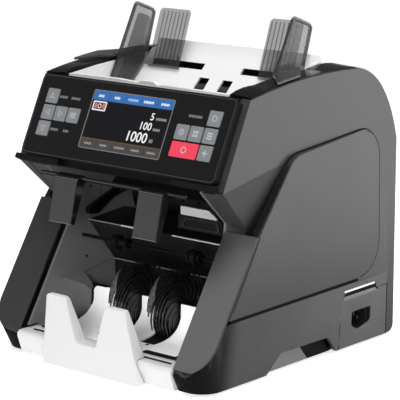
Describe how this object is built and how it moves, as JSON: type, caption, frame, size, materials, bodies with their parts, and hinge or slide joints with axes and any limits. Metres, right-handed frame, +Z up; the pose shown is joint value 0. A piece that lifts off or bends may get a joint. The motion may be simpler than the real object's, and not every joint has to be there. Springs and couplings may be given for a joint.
{
  "type": "banknote counting machine",
  "caption": "Desktop banknote counter with a tilted display head, a top hopper with sliding guides, a reject pocket and a stacker pocket with vaned wheels.",
  "frame": {"origin": "centre of the footprint on the table, at the underside of the feet", "axes": "+Z up, -Y to the front with the display and pockets, +X to the right as seen from the front"},
  "size_m": [0.3008, 0.33, 0.3532],
  "materials": {
    "grey_plastic": "satin dark grey",
    "dark_plastic": "fine texture",
    "black_gloss": "polished",
    "white_plastic": "satin",
    "smoke_plastic": "clear smoke tint",
    "key_plastic": "matte",
    "red_key_plastic": "matte",
    "screen_glass": "polished",
    "rubber": "matte",
    "steel": "brushed",
    "circuit_board": "solder mask"
  },
  "bodies": {
    "machine": {"base_pan": "dark_plastic", "display_bezel": "black_gloss", "display_board": "circuit_board", "drive_motor": "steel", "foot_front_left": "rubber", "foot_front_right": "rubber", "foot_rear_left": "rubber", "foot_rear_right": "rubber", "front_base": "white_plastic", "head_floor": "dark_plastic", "head_frame": "dark_plastic", "hopper_tray": "white_plastic", "image_sensor": "dark_plastic", "inlet_cover": "grey_plastic", "inlet_socket": "black_gloss", "left_band": "grey_plastic", "left_cover": "grey_plastic", "left_inner_wall": "grey_plastic", "left_panel": "grey_plastic", "left_skirt": "grey_plastic", "left_top_band": "black_gloss", "main_board": "circuit_board", "note_stopper": "white_plastic", "power_supply": "steel", "rear_hinge_pin": "steel", "rear_panel": "grey_plastic", "reject_chute": "dark_plastic", "reject_shelf": "dark_plastic", "right_band": "grey_plastic", "right_cover": "grey_plastic", "right_inner_wall": "grey_plastic", "right_panel": "grey_plastic", "right_skirt": "grey_plastic", "right_top_band": "black_gloss", "screen": "screen_glass", "stacker_plate": "white_plastic"},
    "key_up_body": {"key_up": "key_plastic"},
    "key_left_body": {"key_left": "key_plastic"},
    "key_right_body": {"key_right": "key_plastic"},
    "key_menu_body": {"key_menu": "key_plastic"},
    "key_down_body": {"key_down": "key_plastic"},
    "key_auto_body": {"key_auto": "key_plastic"},
    "key_currency_body": {"key_currency": "key_plastic"},
    "key_mode_body": {"key_mode": "key_plastic"},
    "key_batch_body": {"key_batch": "key_plastic"},
    "key_reset_body": {"key_reset": "red_key_plastic"},
    "key_add_body": {"key_add": "key_plastic"},
    "left_guide_body": {"left_guide": "smoke_plastic"},
    "right_guide_body": {"right_guide": "smoke_plastic"},
    "drum": {"transport_drum": "rubber"},
    "feed": {"feed_rollers": "rubber"},
    "pickup": {"pickup_rollers": "rubber"},
    "reject": {"reject_rollers": "rubber"},
    "stacker": {"stacker_shaft": "steel", "left_stacker_wheel": "rubber", "right_stacker_wheel": "rubber"},
    "catches": {"catch_shaft": "steel", "left_note_catch": "dark_plastic", "right_note_catch": "dark_plastic"},
    "rear_lid": {"rear_cover": "grey_plastic"}
  },
  "joints": [
    {"name": "key_up_press", "type": "slide", "parent": "machine", "child": "key_up_body", "axis": [0, 0.9022, -0.4314], "range_m": [0, 0.0008], "stiffness_N_per_m": 600},
    {"name": "key_left_press", "type": "slide", "parent": "machine", "child": "key_left_body", "axis": [0, 0.9022, -0.4314], "range_m": [0, 0.0008], "stiffness_N_per_m": 600},
    {"name": "key_right_press", "type": "slide", "parent": "machine", "child": "key_right_body", "axis": [0, 0.9022, -0.4314], "range_m": [0, 0.0008], "stiffness_N_per_m": 600},
    {"name": "key_menu_press", "type": "slide", "parent": "machine", "child": "key_menu_body", "axis": [0, 0.9022, -0.4314], "range_m": [0, 0.0008], "stiffness_N_per_m": 600},
    {"name": "key_down_press", "type": "slide", "parent": "machine", "child": "key_down_body", "axis": [0, 0.9022, -0.4314], "range_m": [0, 0.0008], "stiffness_N_per_m": 600},
    {"name": "key_auto_press", "type": "slide", "parent": "machine", "child": "key_auto_body", "axis": [0, 0.9022, -0.4314], "range_m": [0, 0.0008], "stiffness_N_per_m": 600},
    {"name": "key_currency_press", "type": "slide", "parent": "machine", "child": "key_currency_body", "axis": [0, 0.9022, -0.4314], "range_m": [0, 0.0008], "stiffness_N_per_m": 600},
    {"name": "key_mode_press", "type": "slide", "parent": "machine", "child": "key_mode_body", "axis": [0, 0.9022, -0.4314], "range_m": [0, 0.0008], "stiffness_N_per_m": 600},
    {"name": "key_batch_press", "type": "slide", "parent": "machine", "child": "key_batch_body", "axis": [0, 0.9022, -0.4314], "range_m": [0, 0.0008], "stiffness_N_per_m": 600},
    {"name": "key_reset_press", "type": "slide", "parent": "machine", "child": "key_reset_body", "axis": [0, 0.9022, -0.4314], "range_m": [0, 0.0008], "stiffness_N_per_m": 600},
    {"name": "key_add_press", "type": "slide", "parent": "machine", "child": "key_add_body", "axis": [0, 0.9022, -0.4314], "range_m": [0, 0.0008], "stiffness_N_per_m": 600},
    {"name": "left_guide_slide", "type": "slide", "parent": "machine", "child": "left_guide_body", "axis": [1, 0, 0], "range_m": [0, 0.04]},
    {"name": "right_guide_slide", "type": "slide", "parent": "machine", "child": "right_guide_body", "axis": [-1, 0, 0], "range_m": [0, 0.04]},
    {"name": "drum_spin", "type": "hinge", "parent": "machine", "child": "drum", "pos_m": [0, 0.04, 0.15], "axis": [1, 0, 0], "continuous": true},
    {"name": "feed_spin", "type": "hinge", "parent": "machine", "child": "feed", "pos_m": [0, 0.01, 0.226], "axis": [1, 0, 0], "continuous": true},
    {"name": "pickup_spin", "type": "hinge", "parent": "machine", "child": "pickup", "pos_m": [0, 0.0325, 0.2625], "axis": [1, 0, 0], "continuous": true},
    {"name": "reject_spin", "type": "hinge", "parent": "machine", "child": "reject", "pos_m": [0, -0.062, 0.112], "axis": [1, 0, 0], "continuous": true},
    {"name": "stacker_spin", "type": "hinge", "parent": "machine", "child": "stacker", "pos_m": [0, -0.058, 0.056], "axis": [1, 0, 0], "continuous": true},
    {"name": "catch_swing", "type": "hinge", "parent": "machine", "child": "catches", "pos_m": [0, -0.126, 0.1905], "axis": [-1, 0, 0], "range_deg": [0, 40]},
    {"name": "rear_lid_hinge", "type": "hinge", "parent": "machine", "child": "rear_lid", "pos_m": [0, 0.1585, 0.082], "axis": [-1, 0, 0], "range_deg": [0, 70]}
  ],
  "couplings": [
    {"joint": "feed_spin", "follows": "drum_spin", "ratio": -2.4286},
    {"joint": "pickup_spin", "follows": "drum_spin", "ratio": -3.5789},
    {"joint": "reject_spin", "follows": "drum_spin", "ratio": -4.5333},
    {"joint": "stacker_spin", "follows": "drum_spin", "ratio": -0.25}
  ]
}
